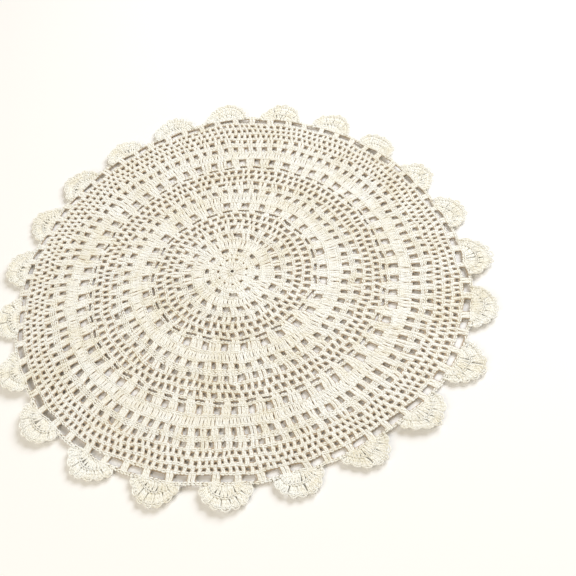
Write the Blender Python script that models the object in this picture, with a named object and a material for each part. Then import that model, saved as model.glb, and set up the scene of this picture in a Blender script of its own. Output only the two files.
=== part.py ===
# A round crochet lace doily lying flat: one thin cotton sheet with a rim of fan
# shells, an arch-shaped gap under each shell, and soft ripples near the rim.
# Metres, +Z up. The underside lies on z = 0 wherever it isn't lifted by a ripple.

import math

import bmesh
import bpy

# driving sizes
SHELL_COUNT = 23              # fan shells round the rim
SHELL_PHASE_DEG = 6.7         # where the first notch between shells stands
COLUMNS_PER_SHELL = 12        # columns of the rim mesh in one shell's pitch
COLUMNS_PER_SHELL_INSIDE = 3  # columns of the body mesh in one shell's pitch
SHEET_THICK = 0.0022          # crochet cotton, two threads deep
BODY_RADII = (0.022, 0.046, 0.069, 0.093, 0.114, 0.133, 0.150)
RIM_START_RADIUS = 0.1590     # last mesh round before the arches
ARCH_INNER_RADIUS = 0.1660    # side of an arch next to the body
ARCH_OUTER_RADIUS = 0.1715    # side of an arch next to the shell
ARCH_END_DROP = 0.0014        # how far an arch narrows at each end
ARCH_HALF_COLUMNS = 2         # an arch is four columns long
NOTCH_RADIUS = 0.1748         # edge of the joining chain between two shells
TIP_RADIUS = 0.1905           # tip of a shell
SHELL_HALF_SHARE = 0.36       # half a shell's width as a share of its pitch
SHELL_ROUNDNESS = 2.6         # power of the shell's outline, 2 is an ellipse

# how the hand-made rounds wander from true circles
CENTRE_DRIFT_X = -0.0034
CENTRE_DRIFT_Y = 0.0034
DRIFT_RADIUS = 0.140
WANDER_RADIUS = 0.1353
THREE_LOBE_OUT = 0.0023
THREE_LOBE_TURN_DEG = 90.0
BUNCHING = 0.0028
BUNCHING_TURN_DEG = 65.0
RIM_PULL_START = 0.135
RIM_PULL_DEPTH = 0.055

# tight and loose stretches of the rim: middle angle, half width, outward shift
RIM_PULLS = (
    {"angle_deg": 188.0, "half_deg": 46.0, "out": -0.0058},
    {"angle_deg": 262.0, "half_deg": 26.0, "out": 0.0016},
    {"angle_deg": 344.0, "half_deg": 40.0, "out": 0.0030},
    {"angle_deg": 300.0, "half_deg": 18.0, "out": -0.0014},
)

# soft ripples that run out to the rim: middle angle, half width, where each
# one starts, and how high it stands at the rim
RIPPLES = (
    {"angle_deg": 212.0, "half_deg": 22.0, "start": 0.096, "lift": 0.0020},
    {"angle_deg": 170.0, "half_deg": 13.0, "start": 0.122, "lift": 0.0014},
    {"angle_deg": 259.0, "half_deg": 13.0, "start": 0.140, "lift": 0.0012},
    {"angle_deg": 307.0, "half_deg": 14.0, "start": 0.132, "lift": 0.0016},
    {"angle_deg": 349.0, "half_deg": 17.0, "start": 0.118, "lift": 0.0015},
    {"angle_deg": 41.0, "half_deg": 19.0, "start": 0.124, "lift": 0.0018},
    {"angle_deg": 93.0, "half_deg": 15.0, "start": 0.130, "lift": 0.0014},
    {"angle_deg": 133.0, "half_deg": 16.0, "start": 0.120, "lift": 0.0016},
)

# moves the outline's box to stand centred on the origin
CENTRING_X = -0.004122
CENTRING_Y = -0.003824

YARN_COLOUR = (0.846, 0.804, 0.694, 1.0)
YARN_ROUGHNESS = 0.9


def bump(distance):
    """1 in the middle, falling smoothly to 0 at a distance of 1 and beyond."""
    if abs(distance) >= 1.0:
        return 0.0
    return (1.0 - distance * distance) ** 2


def turn_between(angle, middle_deg):
    """Signed angle in degrees from middle_deg to the given angle."""
    return (math.degrees(angle) - middle_deg + 180.0) % 360.0 - 180.0


def ramp(value, start, depth):
    """0 at start, 1 at start + depth, smooth at both ends."""
    share = min(1.0, max(0.0, (value - start) / depth))
    return share * share * (3.0 - 2.0 * share)


def place(radius, angle):
    """Where a point of the even, round pattern lies in the uneven doily."""
    wander = (radius / WANDER_RADIUS) ** 2
    lobes = math.cos(3.0 * angle + math.radians(THREE_LOBE_TURN_DEG))
    out = radius + THREE_LOBE_OUT * wander * lobes
    pull = ramp(radius, RIM_PULL_START, RIM_PULL_DEPTH)
    for row in RIM_PULLS:
        out += row["out"] * pull * bump(turn_between(angle, row["angle_deg"]) / row["half_deg"])
    turned = angle
    if radius > 0.0:
        slide = math.cos(angle - math.radians(BUNCHING_TURN_DEG))
        turned -= BUNCHING * wander * slide / radius
    drift = bump(radius / DRIFT_RADIUS)
    x = out * math.cos(turned) + CENTRE_DRIFT_X * drift + CENTRING_X
    y = out * math.sin(turned) + CENTRE_DRIFT_Y * drift + CENTRING_Y
    return x, y


def height(radius, angle):
    """How far the underside stands off the table."""
    lift = 0.0
    for row in RIPPLES:
        across = bump(turn_between(angle, row["angle_deg"]) / row["half_deg"])
        along = ramp(radius, row["start"], TIP_RADIUS - row["start"])
        lift += row["lift"] * across * along
    return lift


def shell_outline(share):
    """Rim radius at a share of the pitch, 0 at a notch and 0.5 at the tip."""
    across = abs(share - 0.5) / SHELL_HALF_SHARE
    if across >= 1.0:
        return NOTCH_RADIUS
    dome = (1.0 - across ** SHELL_ROUNDNESS) ** 0.5
    return NOTCH_RADIUS + (TIP_RADIUS - NOTCH_RADIUS) * dome


def add_ring(mesh, radii, count):
    """One closed ring of vertex pairs (underside, top), one pair a column."""
    ring = []
    step = 2.0 * math.pi / count
    for column in range(count):
        radius = radii[column]
        angle = math.radians(SHELL_PHASE_DEG) + column * step
        x, y = place(radius, angle)
        z = height(radius, angle)
        under = mesh.verts.new((x, y, z))
        top = mesh.verts.new((x, y, z + SHEET_THICK))
        ring.append((under, top))
    return ring


def fill_between(mesh, inner, outer, skipped=()):
    """Two skins of quads between rings of the same count."""
    count = len(inner)
    for column in range(count):
        if column in skipped:
            continue
        after = (column + 1) % count
        mesh.faces.new((inner[column][1], outer[column][1], outer[after][1], inner[after][1]))
        mesh.faces.new((inner[column][0], inner[after][0], outer[after][0], outer[column][0]))


def fill_stepped(mesh, inner, outer):
    """Fans from each inner column to the finer columns of the outer ring."""
    fine = len(outer) // len(inner)
    for column in range(len(inner)):
        after = (column + 1) % len(inner)
        first = column * fine
        split = first + fine // 2
        for step in range(first, first + fine):
            near = outer[step]
            far = outer[(step + 1) % len(outer)]
            hub = inner[column] if step < split else inner[after]
            mesh.faces.new((hub[1], near[1], far[1]))
            mesh.faces.new((hub[0], far[0], near[0]))
        middle = outer[split]
        mesh.faces.new((inner[column][1], middle[1], inner[after][1]))
        mesh.faces.new((inner[column][0], inner[after][0], middle[0]))


def fill_centre(mesh, ring):
    """Closes the middle with a fan on each skin."""
    x, y = place(0.0, 0.0)
    under = mesh.verts.new((x, y, 0.0))
    top = mesh.verts.new((x, y, SHEET_THICK))
    for column in range(len(ring)):
        after = (column + 1) % len(ring)
        mesh.faces.new((top, ring[column][1], ring[after][1]))
        mesh.faces.new((under, ring[after][0], ring[column][0]))


def wall(mesh, path):
    """A wall along a closed path of vertex pairs, the solid on its left."""
    for index in range(len(path)):
        here = path[index]
        after = path[(index + 1) % len(path)]
        mesh.faces.new((here[0], after[0], after[1], here[1]))


def arch_radii(side):
    """Radius of one long side of the arches for every rim column."""
    radii = []
    middle = COLUMNS_PER_SHELL // 2
    for column in range(SHELL_COUNT * COLUMNS_PER_SHELL):
        offset = abs(column % COLUMNS_PER_SHELL - middle)
        narrowing = ARCH_END_DROP if offset == ARCH_HALF_COLUMNS else 0.0
        if side == "inner":
            radii.append(ARCH_INNER_RADIUS + narrowing)
        else:
            radii.append(ARCH_OUTER_RADIUS - narrowing)
    return radii


def build_doily():
    mesh = bmesh.new()
    inside_count = SHELL_COUNT * COLUMNS_PER_SHELL_INSIDE
    rim_count = SHELL_COUNT * COLUMNS_PER_SHELL
    middle = COLUMNS_PER_SHELL // 2

    body = [add_ring(mesh, [radius] * inside_count, inside_count) for radius in BODY_RADII]
    fill_centre(mesh, body[0])
    for inner, outer in zip(body, body[1:]):
        fill_between(mesh, inner, outer)

    rim_start = add_ring(mesh, [RIM_START_RADIUS] * rim_count, rim_count)
    fill_stepped(mesh, body[-1], rim_start)
    arch_inner = add_ring(mesh, arch_radii("inner"), rim_count)
    arch_outer = add_ring(mesh, arch_radii("outer"), rim_count)
    fill_between(mesh, rim_start, arch_inner)

    arches = []
    for shell in range(SHELL_COUNT):
        start = shell * COLUMNS_PER_SHELL + middle - ARCH_HALF_COLUMNS
        arches.append(list(range(start, start + 2 * ARCH_HALF_COLUMNS)))
    skipped = {column for arch in arches for column in arch}
    fill_between(mesh, arch_inner, arch_outer, skipped)
    for arch in arches:
        ends = arch + [arch[-1] + 1]
        path = [arch_inner[column] for column in ends]
        path += [arch_outer[column] for column in reversed(ends)]
        wall(mesh, path)

    outline = [shell_outline(column % COLUMNS_PER_SHELL / COLUMNS_PER_SHELL)
               for column in range(rim_count)]
    halfway = [0.5 * (ARCH_OUTER_RADIUS + radius) for radius in outline]
    shell_middle = add_ring(mesh, halfway, rim_count)
    shell_edge = add_ring(mesh, outline, rim_count)
    fill_between(mesh, arch_outer, shell_middle)
    fill_between(mesh, shell_middle, shell_edge)
    wall(mesh, shell_edge)

    bmesh.ops.triangulate(mesh, faces=mesh.faces[:])
    data = bpy.data.meshes.new("doily")
    mesh.to_mesh(data)
    mesh.free()
    doily = bpy.data.objects.new("doily", data)
    bpy.context.scene.collection.objects.link(doily)
    return doily


def yarn_material():
    material = bpy.data.materials.new("cotton_crochet")
    material.use_nodes = True
    shader = material.node_tree.nodes["Principled BSDF"]
    shader.inputs["Base Color"].default_value = YARN_COLOUR
    shader.inputs["Roughness"].default_value = YARN_ROUGHNESS
    shader.inputs["Metallic"].default_value = 0.0
    return material


for old in list(bpy.data.objects):
    bpy.data.objects.remove(old, do_unlink=True)

doily_object = build_doily()
doily_object.data.materials.append(yarn_material())
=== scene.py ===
import math

import bpy
import numpy as np
from mathutils import Matrix, Vector


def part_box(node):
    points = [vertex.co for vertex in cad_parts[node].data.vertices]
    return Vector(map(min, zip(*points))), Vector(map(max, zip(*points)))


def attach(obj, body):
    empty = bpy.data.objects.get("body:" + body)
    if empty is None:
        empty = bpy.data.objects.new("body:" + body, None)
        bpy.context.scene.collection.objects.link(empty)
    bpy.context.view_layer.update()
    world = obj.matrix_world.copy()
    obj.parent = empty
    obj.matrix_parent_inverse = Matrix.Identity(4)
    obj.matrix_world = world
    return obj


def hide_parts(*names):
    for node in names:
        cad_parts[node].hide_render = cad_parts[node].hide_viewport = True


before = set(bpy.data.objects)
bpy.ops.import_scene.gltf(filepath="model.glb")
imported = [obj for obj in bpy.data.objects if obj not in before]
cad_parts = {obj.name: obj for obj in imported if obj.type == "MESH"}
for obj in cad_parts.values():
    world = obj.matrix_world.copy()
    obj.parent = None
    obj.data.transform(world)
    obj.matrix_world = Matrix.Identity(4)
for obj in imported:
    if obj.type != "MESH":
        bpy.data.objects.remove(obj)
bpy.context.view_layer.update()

# Everything below is worked out in millimetres around the middle of the doily, as a round number of
# stitches from the middle out, and only laid down in metres at the very end.
mm = 0.001
fullTurn = 2 * math.pi
dice = np.random.default_rng(2611)
lowCorner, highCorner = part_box("doily")
ground = Vector(((lowCorner[0] + highCorner[0]) / 2, (lowCorner[1] + highCorner[1]) / 2, lowCorner[2]))

# Camera, floor and light come first.

camera = {
    "lens": 48.26,
    "sensor": 36.0,
    "spot": (49.7, -371.7, 468.7),  # mm from the middle of the doily's box
    "forward": (-0.02629, 0.59920, -0.80016),
    "roll": -7.65,  # degrees
}
studio = {
    "floorSize": 14.0,  # m
    "floorColour": "#FCFBF9",
    "skyColour": "#F3E8D2",
    "skyStrength": 0.37,
    "keyColour": "#F4F8FF",
    "keyPower": 25.0,
    "keySize": 1.15,
    "keySpot": (0.88, 0.80, 1.12),
    "fillColour": "#FFF8EE",
    "fillPower": 11.5,
    "fillSize": 1.2,
    "fillSpot": (-0.85, -0.90, 1.10),
}


def hexColour(code, alpha=1.0):
    # sRGB hex to the linear values that the shaders work in
    channels = [int(code[i:i + 2], 16) / 255 for i in (1, 3, 5)]
    linear = [c / 12.92 if c <= 0.04045 else ((c + 0.055) / 1.055) ** 2.4 for c in channels]
    return (*linear, alpha)


def addNode(tree, kind, settings=None, **links):
    # one node with its settings; a link is a value, a socket, or (node, "output name")
    made = tree.nodes.new(kind)
    for name, value in (settings or {}).items():
        setattr(made, name, value)
    for name, value in links.items():
        key = int(name[1:]) if name[0] == "_" else name.replace("_", " ")
        socket = made.inputs[key]
        if isinstance(value, bpy.types.NodeSocket):
            tree.links.new(value, socket)
        else:
            socket.default_value = value
    return made


def placeCamera():
    data = bpy.data.cameras.new("camera")
    data.lens = camera["lens"]
    data.sensor_width = camera["sensor"]
    eye = bpy.data.objects.new("camera", data)
    bpy.context.collection.objects.link(eye)
    forward = Vector(camera["forward"]).normalized()
    level = forward.cross(Vector((0, 0, 1))).normalized()
    up = level.cross(forward)
    roll = math.radians(camera["roll"])
    right = level * math.cos(roll) + up * math.sin(roll)
    top = right.cross(forward)
    turn = Matrix((right, top, -forward)).transposed().to_4x4()
    spot = Vector(camera["spot"]) * mm + ground
    eye.matrix_world = Matrix.Translation(spot) @ turn
    data.clip_start = 0.01
    bpy.context.scene.camera = eye


def placeLamp(name, spot, size, power, colour):
    data = bpy.data.lights.new(name, "AREA")
    data.shape = "DISK"
    data.size = size
    data.energy = power
    data.color = hexColour(colour)[:3]
    lamp = bpy.data.objects.new(name, data)
    bpy.context.collection.objects.link(lamp)
    lamp.location = Vector(spot) + ground
    lamp.rotation_euler = (ground - lamp.location).to_track_quat("-Z", "Y").to_euler()


def placeStudio():
    half = studio["floorSize"] / 2
    corners = [(-half, -half, 0), (half, -half, 0), (half, half, 0), (-half, half, 0)]
    mesh = bpy.data.meshes.new("floor")
    mesh.from_pydata([Vector(c) + ground for c in corners], [], [(0, 1, 2, 3)])
    floor = bpy.data.objects.new("floor", mesh)
    bpy.context.collection.objects.link(floor)
    # matt painted board: plain, with next to no shine
    paint = bpy.data.materials.new("matt_painted_board")
    paint.use_nodes = True
    shader = paint.node_tree.nodes["Principled BSDF"]
    shader.inputs["Base Color"].default_value = hexColour(studio["floorColour"])
    shader.inputs["Roughness"].default_value = 0.9
    mesh.materials.append(paint)
    world = bpy.data.worlds.new("soft_box")
    bpy.context.scene.world = world
    world.use_nodes = True
    sky = world.node_tree.nodes["Background"]
    sky.inputs["Color"].default_value = hexColour(studio["skyColour"])
    sky.inputs["Strength"].default_value = studio["skyStrength"]
    placeLamp("key", studio["keySpot"], studio["keySize"], studio["keyPower"], studio["keyColour"])
    placeLamp("fill", studio["fillSpot"], studio["fillSize"], studio["fillPower"], studio["fillColour"])
    # a plain display curve, so that the cream keeps its own colour
    bpy.context.scene.view_settings.view_transform = "Standard"


placeCamera()
placeStudio()
print("camera, floor and light placed")

# How the doily lies: the same uneven round as its CAD solid.

lie = {
    "driftOut": 140.0,  # the middle sits off centre, fading out by here
    "driftBy": (-3.4, 3.4),
    "coreOut": 76.0,  # and its inner rounds are a little oval
    "coreOval": 1.2,
    "coreFull": 22.0,
    "coreBy": -1.1,
    "wanderAt": 135.3,
    "threeLobe": 2.3,
    "threeLobeTurn": 90.0,
    "bunching": 2.8,
    "bunchingTurn": 65.0,
    "pullStart": 135.0,
    "pullDepth": 55.0,
    "centring": (-4.122, -3.824),
    "tip": 190.5,
}
rimPulls = [
    dict(at=188, half=46, out=-5.8),
    dict(at=262, half=26, out=1.6),
    dict(at=344, half=40, out=3.0),
    dict(at=300, half=18, out=-1.4),
]
ripples = [
    dict(at=212, half=22, start=96, lift=2.0),
    dict(at=170, half=13, start=122, lift=1.4),
    dict(at=259, half=13, start=140, lift=1.2),
    dict(at=307, half=14, start=132, lift=1.6),
    dict(at=349, half=17, start=118, lift=1.5),
    dict(at=41, half=19, start=124, lift=1.8),
    dict(at=93, half=15, start=130, lift=1.4),
    dict(at=133, half=16, start=120, lift=1.6),
]
# hand work: slow wandering of the rounds, as a few waves that cross each other
waves = {
    "count": 16,
    "longest": 62.0,
    "shortest": 15.0,
    "aside": 0.20,  # mm each
    "lift": 0.07,
    "clear": 6.4,  # keeps the lowest wave off the table
}


def hump(d):
    return np.where(np.abs(d) < 1, (1 - d * d) ** 2, 0.0)


def easeIn(value, start, depth):
    share = np.clip((value - start) / depth, 0, 1)
    return share * share * (3 - 2 * share)


def degreesFrom(angle, middle):
    return (np.degrees(angle) - middle + 180) % 360 - 180


def drawWaves():
    length = waves["shortest"] * (waves["longest"] / waves["shortest"]) ** dice.random(waves["count"])
    heading = dice.random(waves["count"]) * fullTurn
    size = fullTurn / length
    return size * np.cos(heading), size * np.sin(heading), dice.random((3, waves["count"])) * fullTurn


waveX, waveY, wavePhase = drawWaves()


def layDown(out, angle, up):
    # out, angle and up give a point of the flat round; the result is where it lies, in metres
    x = out * np.cos(angle)
    y = out * np.sin(angle)
    slow = [np.sin(x[..., None] * waveX + y[..., None] * waveY + p).sum(-1) for p in wavePhase]
    fade = easeIn(out, 4.0, 30.0)
    out = out + slow[0] * waves["aside"] * fade
    angle = angle + slow[1] * waves["aside"] * fade / np.maximum(out, 8.0)
    wander = (out / lie["wanderAt"]) ** 2
    pull = easeIn(out, lie["pullStart"], lie["pullDepth"])
    far = out + lie["threeLobe"] * wander * np.cos(3 * angle + math.radians(lie["threeLobeTurn"]))
    core = hump(out / lie["coreOut"])
    far = far - lie["coreOval"] * core * np.minimum(out / lie["coreFull"], 1) * np.cos(2 * angle)
    lift = np.zeros_like(out)
    for row in rimPulls:
        far = far + row["out"] * pull * hump(degreesFrom(angle, row["at"]) / row["half"])
    for row in ripples:
        rise = easeIn(out, row["start"], lie["tip"] - row["start"])
        lift += row["lift"] * rise * hump(degreesFrom(angle, row["at"]) / row["half"])
    bunched = lie["bunching"] * wander * np.cos(angle - math.radians(lie["bunchingTurn"]))
    turned = angle - bunched / np.maximum(out, 0.5)
    drift = hump(out / lie["driftOut"])
    px = far * np.cos(turned) + lie["driftBy"][0] * drift + lie["centring"][0]
    py = far * np.sin(turned) + lie["driftBy"][1] * drift + lie["coreBy"] * core
    py = py + lie["centring"][1]
    pz = up + lift + (slow[2] + waves["clear"]) * waves["lift"]
    return np.stack([px, py, pz], axis=-1) * mm + np.array(ground)


# The rounds, from the middle out.

shells = {
    "count": 23,
    "firstNotch": 6.7,  # degrees
    "gaps": 3,  # chain gaps to a shell, the middle one under it
    "root": 171.4,
    "rootHalf": 6.4,
    "rootOut": 1.6,
    "tipHalf": 18.4,
    "tipOut": 20.0,
    "spread": 80.0,
    "cup": 0.9,
    "innerPosts": 11,
    "lobes": 7,
    "lobePosts": 3,
    "uneven": 0.05,
    "skew": 0.7,
    "standUp": 0.15,  # mm above the body
    "innerTop": 0.42,  # shares of the way from root to tip
    "ringAt": 0.44,
    "ringLoops": 15,
    "lobeFrom": 0.46,
    "lobeTop": 0.88,
    "edgeLoops": 20,
    "picotAt": 0.89,
    "lobeFoot": 0.25,  # posts of a lobe apart, in shares of its width
    "lobeHead": 0.32,
}
# the rim's gap round has its phase from the shells
firstShell = math.radians(shells["firstNotch"]) + math.pi / shells["count"]
gapPhase = firstShell / (fullTurn / (shells["count"] * shells["gaps"])) % 1

# inner and outer are the middles of the chain ridges that bound a round, in mm. The posts stand in
# groups, apart from each other by that much, and open is the height of the gaps between groups.
# Phase is where the first gap is, in shares of a group. A post under tight has only a speck beside it.
rounds = [
    dict(inner=2.7, outer=9.7, groups=22, posts=1, apart=0, open=2.6, phase=0.1, tight=True),
    dict(inner=9.7, outer=13.7, groups=11, posts=2, apart=2.3, open=1.5, phase=0.3, tight=False),
    dict(inner=13.7, outer=18.0, groups=44, posts=1, apart=0, open=1.8, phase=0.0, tight=True),
    dict(inner=18.0, outer=23.4, groups=11, posts=3, apart=2.25, open=3.0, phase=0.21, tight=False),
    dict(inner=23.4, outer=31.9, groups=66, posts=1, apart=0, open=2.6, phase=0.0, tight=True),
    dict(inner=31.9, outer=40.0, groups=22, posts=2, apart=3.0, open=4.4, phase=-0.04, tight=False,
         shift=-0.7, ridges=2),
    dict(inner=40.0, outer=47.6, groups=30, posts=2, apart=2.9, open=3.8, phase=0.31, tight=False),
    dict(inner=47.6, outer=54.3, groups=60, posts=1, apart=0, open=3.1, phase=0.1, tight=False),
    dict(inner=54.3, outer=61.0, groups=60, posts=1, apart=0, open=3.1, phase=0.6, tight=False),
    dict(inner=61.0, outer=65.4, groups=30, posts=2, apart=2.7, open=1.9, phase=-0.157, tight=False),
    dict(inner=65.4, outer=73.3, groups=30, posts=4, apart=2.25, open=5.2, phase=-0.157, tight=False),
    dict(inner=73.3, outer=81.6, groups=186, posts=1, apart=0, open=2.8, phase=0.0, tight=True),
    dict(inner=81.6, outer=90.0, groups=60, posts=2, apart=2.4, open=4.6, phase=-0.175, tight=False,
         shift=-0.7, ridges=2),
    dict(inner=90.0, outer=97.7, groups=60, posts=2, apart=2.9, open=3.8, phase=0.07, tight=False),
    dict(inner=97.7, outer=104.6, groups=120, posts=1, apart=0, open=3.1, phase=0.0, tight=False),
    dict(inner=104.6, outer=111.1, groups=120, posts=1, apart=0, open=2.9, phase=0.5, tight=False),
    dict(inner=111.1, outer=115.4, groups=60, posts=2, apart=2.6, open=1.8, phase=-0.52, tight=False),
    dict(inner=115.4, outer=124.1, groups=60, posts=3, apart=2.4, open=5.8, phase=-0.52, tight=False),
    dict(inner=124.1, outer=131.8, groups=312, posts=1, apart=0, open=2.6, phase=0.0, tight=True),
    dict(inner=131.8, outer=141.0, groups=100, posts=2, apart=2.3, open=5.2, phase=-0.891, tight=False,
         shift=-0.8, ridges=2),
    dict(inner=141.0, outer=148.7, groups=100, posts=2, apart=2.9, open=3.6, phase=-0.74, tight=False),
    dict(inner=148.7, outer=154.5, groups=200, posts=1, apart=0, open=2.25, phase=0.2, tight=False),
    dict(inner=154.5, outer=160.3, groups=200, posts=1, apart=0, open=2.15, phase=0.7, tight=False),
    dict(inner=160.3, outer=166.0, groups=200, posts=1, apart=0, open=2.1, phase=0.1, tight=False),
    dict(inner=166.0, outer=172.9, groups=69, posts=2, apart=2.5, open=4.2, phase=gapPhase, tight=False),
]
yarn = {
    "thread": 1.20,  # mm through
    "middle": 1.12,  # height of the cloth's middle
    "postSpread": 0.60,
    "postTwist": 0.30,  # turns along a post
    "snugSpread": 0.66,
    "loopPitch": 2.62,
    "loopHalfWidth": 0.77,
    "ridgeApart": 2.4,
    "unevenPost": 0.075,  # of the room a post has
    "unevenGroup": 0.30,  # mm
    "lean": 0.34,
    "slant": 0.26,
}
web = {
    "thick": 0.55,
    "holeRadius": 1.7,
    "holeCorners": 24,
    "waist": 1.36,
    "groupWaist": 1.48,
    "tightWaist": 1.12,
    "foot": 2.0,
    "seam": 0.05,
    "rough": 0.18,
    "rimCorners": 264,
    "rimPast": 0.8,  # the rim's edge stays hidden under its chain
}


def postRows(row):
    # where the posts of a round stand: angles at the foot and at the head, and the room each has
    pitch = fullTurn / row["groups"]
    middle = (row["inner"] + row["outer"]) / 2
    group = (np.arange(row["groups"]) + row["phase"] + 0.5) * pitch
    if row["posts"] > 1:
        group = group + dice.normal(0, yarn["unevenGroup"], row["groups"]) / middle
    step = (np.arange(row["posts"]) - (row["posts"] - 1) / 2) * row["apart"] / middle
    angle = (group[:, None] + step[None, :]).ravel()
    ahead = np.diff(angle, append=angle[0] + fullTurn)
    behind = np.diff(angle, prepend=angle[-1] - fullTurn)
    room = np.minimum(ahead, behind)
    angle = angle + np.clip(dice.normal(0, yarn["unevenPost"], angle.size), -0.12, 0.12) * room
    lean = (dice.normal(0, yarn["lean"], angle.size) + yarn["slant"]) / middle
    lean = np.clip(lean, -0.2 * room, 0.2 * room)
    return angle - lean / 2, angle + lean / 2, room


def interleave(left, right):
    return np.stack([left, right], axis=1).ravel()


def barEdges(angle, halfWidth, closed):
    # the two edges of each bar, kept clear of its neighbours
    if closed:
        after = np.append(angle[1:], angle[0] + fullTurn)
        before = np.append(angle[-1] - fullTurn, angle[:-1])
    else:
        after = np.append(angle[1:], angle[-1] + 9)
        before = np.append(angle[0] - 9, angle[:-1])
    return angle - halfWidth, angle + halfWidth, (angle + before) / 2, (angle + after) / 2


class FlatPlan:
    # the web as a flat plan of (out, angle) points and faces, before it is given its thickness
    def __init__(self, closed):
        self.closed = closed
        self.points = []
        self.faces = []
        self.size = 0

    def add(self, out, angle):
        first = self.size
        self.points.append(np.stack([np.broadcast_to(out, angle.shape), angle], axis=1))
        self.size += angle.size
        return np.arange(first, self.size), angle

    def ridge(self, low, high):
        # fills the ring between two rows of points that need not match
        lowId, lowAngle = low
        highId, highAngle = high
        if self.closed:
            start = int(np.argmin(np.abs((highAngle - lowAngle[0] + math.pi) % fullTurn - math.pi)))
            highId = np.roll(highId, -start)
            highAngle = np.roll(highAngle, -start)
            highAngle = lowAngle[0] + (highAngle - lowAngle[0] + math.pi) % fullTurn - math.pi
            highAngle = highAngle[0] + (highAngle - highAngle[0]) % fullTurn
            lowAngle = lowAngle[0] + (lowAngle - lowAngle[0]) % fullTurn
            lowId = np.append(lowId, lowId[0])
            highId = np.append(highId, highId[0])
            lowAngle = np.append(lowAngle, lowAngle[0] + fullTurn)
            highAngle = np.append(highAngle, highAngle[0] + fullTurn)
        i = j = 0
        while i < len(lowId) - 1 or j < len(highId) - 1:
            lowNext = lowAngle[i + 1] if i < len(lowId) - 1 else math.inf
            highNext = highAngle[j + 1] if j < len(highId) - 1 else math.inf
            if lowNext <= highNext:
                self.faces.append((lowId[i], highId[j], lowId[i + 1]))
                i += 1
            else:
                self.faces.append((lowId[i], highId[j], highId[j + 1]))
                j += 1

    def bars(self, low, middle, high):
        for below, above in ((low, middle), (middle, high)):
            a = below[0]
            b = above[0]
            for k in range(0, len(a), 2):
                self.faces.append((a[k], b[k], b[k + 1], a[k + 1]))

    def row(self, lower, outs, foot, head, halves):
        # one round: its bars, with a wide foot and head and a narrow waist
        waist = (foot + head) / 2
        levels = []
        for out, angle, half in zip(outs, (foot, waist, head), halves):
            left, right, leftMost, rightMost = barEdges(angle, half / out, self.closed)
            seam = web["seam"] / out
            left = np.maximum(left, leftMost + seam)
            right = np.minimum(right, rightMost - seam)
            edges = interleave(left, right)
            levels.append(self.add(out + dice.normal(0, web["rough"], edges.size), edges))
        self.ridge(lower, levels[0])
        self.bars(*levels)
        return levels[2]


def thicken(points, faces, below, above):
    # a closed sheet from a flat plan: top, underside, and a wall round every hole and edge
    count = len(points)
    edges = {}
    for face in faces:
        for a, b in zip(face, face[1:] + face[:1]):
            edges[(int(a), int(b))] = True
    walls = [(b, a, a + count, b + count) for a, b in edges if (b, a) not in edges]
    top = [tuple(int(v) for v in face) for face in faces]
    under = [tuple(int(v) + count for v in reversed(face)) for face in faces]
    plan = np.concatenate([points, points])
    up = np.concatenate([np.broadcast_to(above, count), np.broadcast_to(below, count)])
    return plan, up, top + under + walls


def sweep(path, thick, sides):
    # strands along many paths at once; the first and last point of each path are its pointed ends
    along = np.gradient(path, axis=1)
    along /= np.linalg.norm(along, axis=2, keepdims=True)
    side = np.cross(along, np.array([0.0, 0.0, 1.0]))
    side /= np.linalg.norm(side, axis=2, keepdims=True)
    rise = np.cross(side, along)
    turn = fullTurn * (np.arange(sides) + 0.5) / sides
    ring = (np.cos(turn)[:, None] * side[:, 1:-1, None, :] + np.sin(turn)[:, None] * rise[:, 1:-1, None, :])
    # few-sided strands are drawn a little outside their circle, so that they look as thick as they are
    thick = np.broadcast_to(thick, path[:, 1:-1, 0].shape) * 0.95 / math.cos(math.pi / sides)
    ring = path[:, 1:-1, None, :] + thick[:, :, None, None] * ring
    count = len(path)
    return np.concatenate([path[:, :1], ring.reshape(count, -1, 3), path[:, -1:]], axis=1)


def strandFaces(rings, sides):
    # faces of one strand, with (ring, side) places for the yarn's own map
    quads = []
    quadPlaces = []
    for k in range(rings - 1):
        for j in range(sides):
            n = (j + 1) % sides
            a = 1 + k * sides
            quads.append((a + j, a + sides + j, a + sides + n, a + n))
            quadPlaces.append(((k + 1, j), (k + 2, j), (k + 2, j + 1), (k + 1, j + 1)))
    tris = []
    triPlaces = []
    last = 1 + (rings - 1) * sides
    for j in range(sides):
        n = (j + 1) % sides
        tris.append((0, 1 + j, 1 + n))
        triPlaces.append(((0, j + 0.5), (1, j), (1, j + 1)))
        tris.append((1 + rings * sides, last + n, last + j))
        triPlaces.append(((rings + 1, j + 0.5), (rings, j + 1), (rings, j)))
    return np.array(quads), np.array(quadPlaces), np.array(tris), np.array(triPlaces)


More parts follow.
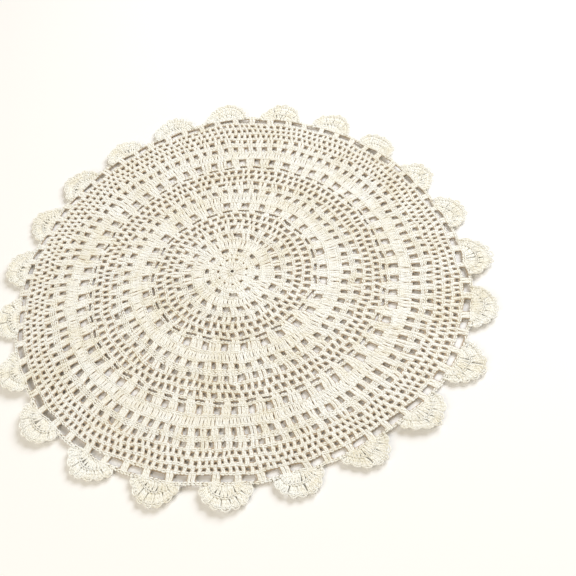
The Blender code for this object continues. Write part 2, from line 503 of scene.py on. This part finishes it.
class Yarn:
    # gathers many strands into one mesh
    def __init__(self, name):
        self.name = name
        self.points = []
        self.heights = []
        self.quads = []
        self.tris = []
        self.quadMap = []
        self.triMap = []
        self.size = 0

    def add(self, base, path, thick, sides):
        # base is the angle that each path's across is measured from; a path holds (out, across, up)
        count, steps = path.shape[:2]
        points = sweep(path, thick, sides)
        out = points[..., 0]
        angle = base[:, None] + points[..., 1] / np.maximum(out, 1.0)
        self.points.append(layDown(out, angle, points[..., 2]).reshape(-1, 3))
        self.heights.append(points[..., 2].ravel())
        length = np.zeros((count, steps))
        length[:, 1:] = np.cumsum(np.linalg.norm(np.diff(path, axis=1), axis=2), axis=1)
        quads, quadPlaces, tris, triPlaces = strandFaces(steps - 2, sides)
        shift = self.size + np.arange(count)[:, None, None] * points.shape[1]
        self.quads.append((quads[None] + shift).reshape(-1, 4))
        self.tris.append((tris[None] + shift).reshape(-1, 3))
        for places, store in ((quadPlaces, self.quadMap), (triPlaces, self.triMap)):
            along = length[:, places[..., 0].astype(int)]
            around = np.broadcast_to(places[..., 1] / sides, along.shape)
            store.append(np.stack([along, around], axis=-1).reshape(-1, 2))
        self.size += count * points.shape[1]

    def build(self, material):
        points = np.concatenate(self.points)
        quads = np.concatenate(self.quads)
        tris = np.concatenate(self.tris)
        yarnMap = np.concatenate(self.quadMap + self.triMap)
        return buildMesh(self.name, points, quads.tolist() + tris.tolist(), np.concatenate(self.heights),
                         material, yarnMap)


def buildMesh(name, points, faces, heights, material, yarnMap=None):
    mesh = bpy.data.meshes.new(name)
    mesh.from_pydata(points, [], faces)
    mesh.polygons.foreach_set("use_smooth", np.ones(len(faces), dtype=bool))
    rise = mesh.attributes.new("rise", "FLOAT", "POINT")
    rise.data.foreach_set("value", heights.astype(np.float32))
    if yarnMap is not None:
        layer = mesh.uv_layers.new(name="yarn")
        layer.uv.foreach_set("vector", yarnMap.ravel().astype(np.float32))
    corners = np.empty(len(mesh.loops), dtype=np.int32)
    mesh.loops.foreach_get("vertex_index", corners)
    # a plan view map for the colours, leaned over a little so that upright faces have width too
    plan = points[:, :2] - points[:, :2].min(axis=0) + points[:, 2:3] * np.array([0.37, 0.21])
    layer = mesh.uv_layers.new(name="OFBake")
    layer.uv.foreach_set("vector", (plan / plan.max())[corners].ravel().astype(np.float32))
    mesh.materials.append(material)
    piece = bpy.data.objects.new(name, mesh)
    bpy.context.collection.objects.link(piece)
    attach(piece, "root")
    triangles = sum(len(face) - 2 for face in faces)
    print("  ", name, triangles, "triangles")
    return piece


# Both materials are the same cream cotton, each with a dark tan painted shade mixed in low down: a little
# on the yarn, a lot on the web, standing in for the shadow between the stitches and in the holes.

cotton = {
    "light": "#FEFEF8",
    "cream": "#FCFAF0",
    "warm": "#F7F3E3",
    # painted shade: the next two tones are mixed in where the yarn and the web lie low, as shadow between
    # stitches and in holes
    "deep": "#A08A50",
    "core": "#977237",
    "cloud": 46.0,  # mm, slow patches of colour
    "mottle": 7.0,  # mm, from stitch to stitch
    "plyPitch": 1.3,  # mm along the thread; the real 0.5 mm is too fine to show
    "fibre": 0.35,  # mm
    "roughness": 0.82,
    "sheen": 0.22,
}


def crochetCotton(name, shadeTone, topShade, deeper, topRise, deepest):
    # mercerised cotton, spun in three plies and crocheted: a matt cream with a faint silky edge, small
    # slanting ribs where the plies turn, and a painted shade that darkens the colour the lower it lies, as
    # shadow between the stitches
    material = bpy.data.materials.new(name)
    material.use_nodes = True
    tree = material.node_tree
    shader = tree.nodes["Principled BSDF"]
    shader.inputs["IOR"].default_value = 1.53
    shader.inputs["Sheen Weight"].default_value = cotton["sheen"]
    shader.inputs["Sheen Roughness"].default_value = 0.4
    place = addNode(tree, "ShaderNodeNewGeometry").outputs["Position"]
    cloud = addNode(tree, "ShaderNodeTexNoise", Vector=place, Scale=1000 / cotton["cloud"], Detail=2.0)
    mottle = addNode(tree, "ShaderNodeTexNoise", Vector=place, Scale=1000 / cotton["mottle"], Detail=3.0)
    fibre = addNode(tree, "ShaderNodeTexNoise", Vector=place, Scale=1000 / cotton["fibre"], Detail=2.0)
    both = addNode(tree, "ShaderNodeMath", {"operation": "ADD"}, _0=cloud.outputs["Fac"],
                   _1=mottle.outputs["Fac"])
    toned = addNode(tree, "ShaderNodeMapRange", Value=both.outputs[0], From_Min=0.75, From_Max=1.25)
    ramp = addNode(tree, "ShaderNodeValToRGB", Fac=toned.outputs[0])
    ramp.color_ramp.elements[0].color = hexColour(cotton["warm"])
    ramp.color_ramp.elements[1].color = hexColour(cotton["light"])
    ramp.color_ramp.elements.new(0.45).color = hexColour(cotton["cream"])
    # painted shade: the lower a point lies, the more of the dark tone goes into its colour, standing in for
    # shadow under and between the stitches
    rise = addNode(tree, "ShaderNodeAttribute", {"attribute_name": "rise"})
    depth = addNode(tree, "ShaderNodeMapRange", Value=rise.outputs["Fac"], From_Min=topRise, From_Max=deepest,
                    To_Min=topShade, To_Max=deeper)
    colour = addNode(tree, "ShaderNodeMix", {"data_type": "RGBA"}, _0=depth.outputs[0],
                     _6=ramp.outputs["Color"], _7=hexColour(shadeTone))
    tree.links.new(colour.outputs[2], shader.inputs["Base Color"])
    gloss = addNode(tree, "ShaderNodeMapRange", Value=mottle.outputs["Fac"], From_Min=0.3, From_Max=0.7,
                    To_Min=cotton["roughness"] - 0.08, To_Max=cotton["roughness"] + 0.08)
    tree.links.new(gloss.outputs[0], shader.inputs["Roughness"])
    map2d = addNode(tree, "ShaderNodeUVMap", {"uv_map": "yarn"})
    apart = addNode(tree, "ShaderNodeSeparateXYZ", Vector=map2d.outputs["UV"])
    turns = addNode(tree, "ShaderNodeMath", {"operation": "MULTIPLY_ADD"}, _0=apart.outputs["X"],
                    _1=1 / cotton["plyPitch"], _2=apart.outputs["Y"])
    swing = addNode(tree, "ShaderNodeMath", {"operation": "MULTIPLY"}, _0=turns.outputs[0], _1=fullTurn)
    plies = addNode(tree, "ShaderNodeMath", {"operation": "SINE"}, _0=swing.outputs[0])
    height = addNode(tree, "ShaderNodeMath", {"operation": "MULTIPLY_ADD"}, _0=fibre.outputs["Fac"], _1=0.8,
                     _2=plies.outputs[0])
    bump = addNode(tree, "ShaderNodeBump", Height=height.outputs[0], Strength=0.45, Distance=0.10 * mm)
    tree.links.new(bump.outputs["Normal"], shader.inputs["Normal"])
    return material


# the web takes most of its colour from the painted shade, so its rims in the holes and the specks between
# posts read as shadow
yarnCotton = crochetCotton("mercerised_cotton_yarn", cotton["deep"], 0.0, 0.30, 1.15, 0.3)
webCotton = crochetCotton("mercerised_cotton_web_painted_shade", cotton["core"], 0.70, 1.0, 1.4, 0.85)
print("materials made")

# The web under the stitches, and the stitches of each round.


# one stitch: shares along a post or a loop, and in mm how far its strands stand out and up
stitch = {
    "postShare": np.array([0.0, 0.07, 0.28, 0.48, 0.72, 0.93, 1.0]),
    "postPinch": np.array([0.55, 0.8, 1.0, 1.0, 1.0, 0.8, 0.55]),
    "snugPinch": np.array([0.85, 1.05, 1.02, 0.66, 1.0, 1.05, 0.85]),
    "postRise": 0.34,
    "postDome": 0.10,
    "postPast": 0.7,  # how far a post runs in under the chains at its ends
    "snugWrapAt": 0.70,
    "wrapStep": np.array([-1.0, -0.62, 0.0, 0.62, 1.0]),
    "wrapUp": np.array([-0.30, 0.42, 0.62, 0.42, -0.30]),
    "wrapOut": 0.72,
    "wrapAcross": 1.15,
    "wrapThick": 0.36,
    "loopShare": np.array([-0.62, -0.38, 0.02, 0.40, 0.66]),
    "loopAway": np.array([0.05, 0.36, 0.86, 1.0, 0.72]),
    "loopUp": np.array([0.02, 0.34, 0.62, 0.50, 0.12]),
    "loopThick": np.array([0.38, 0.50, 0.45]),
    "bumpShare": np.array([-0.5, -0.24, 0.24, 0.5]),
    "bumpDown": np.array([0.2, 0.42, 0.42, 0.2]),
    "bumpThick": 0.36,
    "lowTall": 4.6,  # rounds lower than this have no wrap on a post
    "highTall": 8.5,  # and those higher than this have two
}


def barHalves(row):
    # half widths of a bar's foot, waist and head
    if row["tight"]:
        return web["foot"], web["tightWaist"], web["foot"]
    waist = web["groupWaist"] if row["posts"] > 1 else web["waist"]
    return web["foot"], waist, web["foot"]


def narrowing(out, room, spread):
    # near the middle there is less room, and the posts are thinner
    return np.minimum(1.0, out * room / (2 * spread + yarn["thread"]))


def postStrands(bundle, foot, head, room, low, high, wraps, snug):
    # two plied strands up each post, and the yarn wrapped across them. Snug posts fill their room but
    # for a speck below the wrap, and the others turn round each other.
    count = len(foot)
    share = stitch["postShare"]
    pinch = stitch["snugPinch"] if snug else stitch["postPinch"]
    spread = yarn["snugSpread"] if snug else yarn["postSpread"]
    twist = 0.0 if snug else yarn["postTwist"]
    out = low + (high - low) * share[None, :] + dice.normal(0, 0.06, (count, 1))
    slim = narrowing(out, room[:, None], spread)
    fat = 1 + dice.normal(0, 0.06, (count, 1))
    base = (foot + head) / 2
    lean = (head - foot)[:, None] * (share[None, :] - 0.5) * out
    begin = dice.normal(0, 0.25, (count, 1))
    for side in (0, 1):
        turn = begin + side * math.pi + twist * fullTurn * (share[None, :] - 0.5)
        across = lean + np.cos(turn) * spread * pinch * slim * fat
        dome = stitch["postDome"] * np.sin(share * math.pi)
        up = yarn["middle"] + np.sin(turn) * stitch["postRise"] * slim + dome
        thick = yarn["thread"] / 2 * (slim * fat)[:, 1:-1]
        bundle.add(base, np.stack([out, across, up], axis=2), thick, 4)
    for k in range(wraps):
        place = stitch["snugWrapAt"] if snug and wraps == 1 else (k + 1) / (wraps + 1)
        middle = low + (high - low) * place + dice.normal(0, 0.15, (count, 1))
        step = stitch["wrapStep"][None, :]
        slim = narrowing(middle, room[:, None], spread) * fat
        out = middle + step * stitch["wrapOut"] * slim
        across = (head - foot)[:, None] * (middle - (low + high) / 2) / (high - low) * middle
        across = across + step * stitch["wrapAcross"] * slim
        up = yarn["middle"] + stitch["wrapUp"][None, :] * slim
        thick = stitch["wrapThick"] * np.broadcast_to(slim, (count, 3))
        bundle.add(base, np.stack([out, across, up], axis=2), thick, 4)


def chainLoops(bundle, out, base, pitch, behind=True):
    # the chain of V loops along a ridge, each leg a teardrop, and the bump behind it
    count = len(base)
    up = yarn["middle"] + stitch["loopUp"]
    fat = 1 + dice.normal(0, 0.07, (count, 1))
    shiftOut = dice.normal(0, 0.15, (count, 1))
    for side in (-1, 1):
        across = stitch["loopShare"][None, :] * pitch * fat
        away = out + shiftOut + side * stitch["loopAway"][None, :] * yarn["loopHalfWidth"] * fat
        path = np.stack([away, across, np.broadcast_to(up, across.shape) + 0 * across], axis=2)
        bundle.add(base, path, stitch["loopThick"][None, :] * fat, 4)
    if behind:
        across = stitch["bumpShare"][None, :] * pitch * fat
        away = out + shiftOut + 0 * across
        path = np.stack([away, across, yarn["middle"] - stitch["bumpDown"] + 0 * across], axis=2)
        bundle.add(base, path, stitch["bumpThick"] * fat * np.ones((1, 2)), 4)


def ridgeChain(bundle, out, behind=True):
    count = max(8, round(fullTurn * out / yarn["loopPitch"]))
    pitch = fullTurn * out / count
    base = (np.arange(count) + dice.random()) * fullTurn / count
    chainLoops(bundle, out, base + dice.normal(0, 0.05, count) * pitch / out, pitch, behind)


def bundleFor(row):
    for name, reach in zones:
        if row["outer"] <= reach:
            return bundles[name]
    raise ValueError("no zone reaches this round")


zones = [
    ("yarn_inner_rounds", 74.0),
    ("yarn_middle_rounds", 112.0),
    ("yarn_outer_rounds", 132.0),
    ("yarn_rim_rounds", 156.0),
    ("yarn_border", 175.0),
]
bundles = {name: Yarn(name) for name, reach in zones}


def bodyRounds():
    plan = FlatPlan(True)
    corners = np.arange(web["holeCorners"]) * fullTurn / web["holeCorners"]
    lower = plan.add(web["holeRadius"], corners)
    ridgeChain(bundles["yarn_inner_rounds"], rounds[0]["inner"])
    for row in rounds:
        foot, head, room = postRows(row)
        middle = (row["inner"] + row["outer"]) / 2 + row.get("shift", 0)
        outs = (middle - row["open"] / 2, middle, middle + row["open"] / 2)
        lower = plan.row(lower, outs, foot, head, barHalves(row))
        tall = row["outer"] - row["inner"]
        wraps = 0 if tall < stitch["lowTall"] else 2 if tall > stitch["highTall"] else 1
        bundle = bundleFor(row)
        low = row["inner"] - stitch["postPast"]
        high = row["outer"] + stitch["postPast"]
        postStrands(bundle, foot, head, room, low, high, wraps, row["tight"])
        if row.get("ridges", 1) == 2:
            ridgeChain(bundle, row["outer"] - yarn["ridgeApart"] / 2)
            ridgeChain(bundle, row["outer"] + yarn["ridgeApart"] / 2)
        else:
            ridgeChain(bundle, row["outer"])
    rim = np.arange(web["rimCorners"]) * fullTurn / web["rimCorners"]
    plan.ridge(lower, plan.add(rounds[-1]["outer"] + web["rimPast"], rim))
    return plan


def fanPlace(share, turn, tall, skew):
    # a point of a shell: share runs from its root to its tip, turn across it
    half = shells["rootHalf"] + (shells["tipHalf"] - shells["rootHalf"]) * share
    reach = shells["rootOut"] + (shells["tipOut"] - shells["rootOut"]) * share
    out = shells["root"] + reach * np.cos(turn) * (1 + tall * share)
    across = half * np.sin(turn) + skew * share * np.cos(turn)
    cupped = shells["cup"] * share ** 2
    return out, across, cupped


def fanStrands(bundle, base, low, high, foot, head, tall, skew):
    # the radiating posts of one shell, from their turns at the foot to those at the head
    posts = len(foot)
    share = np.array([0.0, 0.1, 0.32, 0.5, 0.68, 0.9, 1.0])
    along = low + (high - low) * share[None, :]
    turn = foot[:, None] + (head - foot)[:, None] * share[None, :]
    radius = shells["rootHalf"] + (shells["tipHalf"] - shells["rootHalf"]) * along
    room = np.gradient(turn, axis=0) * radius
    slim = np.minimum(1.0, room * 1.04 / (2 * yarn["postSpread"] + yarn["thread"]))
    fat = 1 + dice.normal(0, 0.07, (posts, 1))
    begin = dice.normal(0, 0.3, (posts, 1))
    bases = np.full(posts, base)
    for side in (0, 1):
        twist = begin + side * math.pi + yarn["postTwist"] * fullTurn * (share[None, :] - 0.5)
        turned = turn + np.cos(twist) * yarn["postSpread"] * slim * fat / radius
        out, across, cupped = fanPlace(along, turned, tall, skew)
        up = yarn["middle"] + shells["standUp"] + np.sin(twist) * 0.32 * slim + cupped
        thick = yarn["thread"] / 2 * (slim * fat)[:, 1:-1]
        bundle.add(bases, np.stack([out, across, up], axis=2), thick, 5)
    middle = (low + high) / 2
    radius = shells["rootHalf"] + (shells["tipHalf"] - shells["rootHalf"]) * middle
    size = fat * slim[:, 3:4]
    step = stitch["wrapStep"][None, :]
    turned = turn[:, 3:4] + step * 0.95 * size / radius
    out, across, cupped = fanPlace(middle + step * 0.045, turned, tall, skew)
    up = yarn["middle"] + shells["standUp"] + np.array([-0.30, 0.42, 0.66, 0.42, -0.30]) + cupped + 0 * out
    bundle.add(bases, np.stack([out, across, up], axis=2), 0.34 * np.broadcast_to(size, (posts, 3)), 4)


def fanChain(bundle, base, share, tall, skew, loops):
    # V loops along an arc of the shell
    spread = math.radians(shells["spread"] + 3)
    turn = np.linspace(-spread, spread, loops)
    step = turn[1] - turn[0]
    along = stitch["loopShare"][None, :] * step + turn[:, None]
    away = stitch["loopAway"] * yarn["loopHalfWidth"]
    up = yarn["middle"] + shells["standUp"] + stitch["loopUp"]
    fat = 1 + dice.normal(0, 0.07, (loops, 1))
    size = shells["tipOut"] - shells["rootOut"]
    for side in (-1, 1):
        out, across, cupped = fanPlace(share + side * away[None, :] / size * fat, along, tall, skew)
        path = np.stack([out, across, up + cupped], axis=2)
        bundle.add(np.full(loops, base), path, np.array([[0.37, 0.47, 0.42]]) * fat, 4)


def fanPicots(bundle, base, share, turn, step, tall, skew):
    # a small closed loop on the head of each group, standing out along the shell's edge
    picots = len(turn)
    along = np.array([-0.9, -0.86, -0.5, 0.0, 0.5, 0.86, 0.9])[None, :] * step + turn[:, None]
    away = np.array([-0.06, 0.02, 0.09, 0.125, 0.09, 0.02, -0.06])[None, :]
    away = share + away * (1 + dice.normal(0, 0.12, (picots, 1)))
    out, across, cupped = fanPlace(away, along, tall, skew)
    up = yarn["middle"] + shells["standUp"] + np.array([0.0, 0.2, 0.35, 0.4, 0.35, 0.2, 0.0]) + cupped
    path = np.stack([out, across, up + 0 * out], axis=2)
    bundle.add(np.full(picots, base), path, 0.50 * np.ones((picots, 5)), 5)


def spreadTurns(count, uneven):
    # even turns across a shell, from one side to the other
    edge = math.radians(shells["spread"])
    return np.linspace(-edge, edge, count) + dice.normal(0, uneven, count)


def oneShell(bundle, base):
    # a dense half round, a ring of gaps, and seven small lobes of three posts with a picot each
    tall = dice.normal(0, shells["uneven"])
    skew = dice.normal(0, shells["skew"])
    inner = spreadTurns(shells["innerPosts"], 0.02)
    fanStrands(bundle, base, 0.0, shells["innerTop"], inner, inner, tall, skew)
    fanChain(bundle, base, shells["ringAt"], tall, skew, shells["ringLoops"])
    edge = math.radians(shells["spread"])
    lobeStep = 2 * edge / shells["lobes"]
    lobe = (np.arange(shells["lobes"]) - (shells["lobes"] - 1) / 2) * lobeStep
    lobe = lobe + dice.normal(0, 0.02, lobe.size)
    split = np.arange(shells["lobePosts"]) - (shells["lobePosts"] - 1) / 2
    foot = (lobe[:, None] + split * shells["lobeFoot"] * lobeStep).ravel()
    head = (lobe[:, None] + split * shells["lobeHead"] * lobeStep).ravel()
    fanStrands(bundle, base, shells["lobeFrom"], shells["lobeTop"], foot, head, tall, skew)
    fanChain(bundle, base, shells["lobeTop"], tall, skew, shells["edgeLoops"])
    fanPicots(bundle, base, shells["picotAt"], lobe, lobeStep / 2, tall, skew)


def shellEdging(bundle):
    for base in firstShell + np.arange(shells["count"]) * fullTurn / shells["count"]:
        oneShell(bundle, base)


bodyPlan = bodyRounds()
edging = Yarn("yarn_shells")
shellEdging(edging)


def buildWeb():
    half = web["thick"] / 2
    points = np.concatenate(bodyPlan.points)
    plan, up, faces = thicken(points, bodyPlan.faces, yarn["middle"] - half, yarn["middle"] + half)
    placed = layDown(plan[:, 0], plan[:, 1], up)
    return buildMesh("ground_web", placed, faces, up, webCotton)


webPiece = buildWeb()
yarnPieces = [bundle.build(yarnCotton) for bundle in bundles.values()]
yarnPieces.append(edging.build(yarnCotton))
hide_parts("doily")


print("web and stitches made")
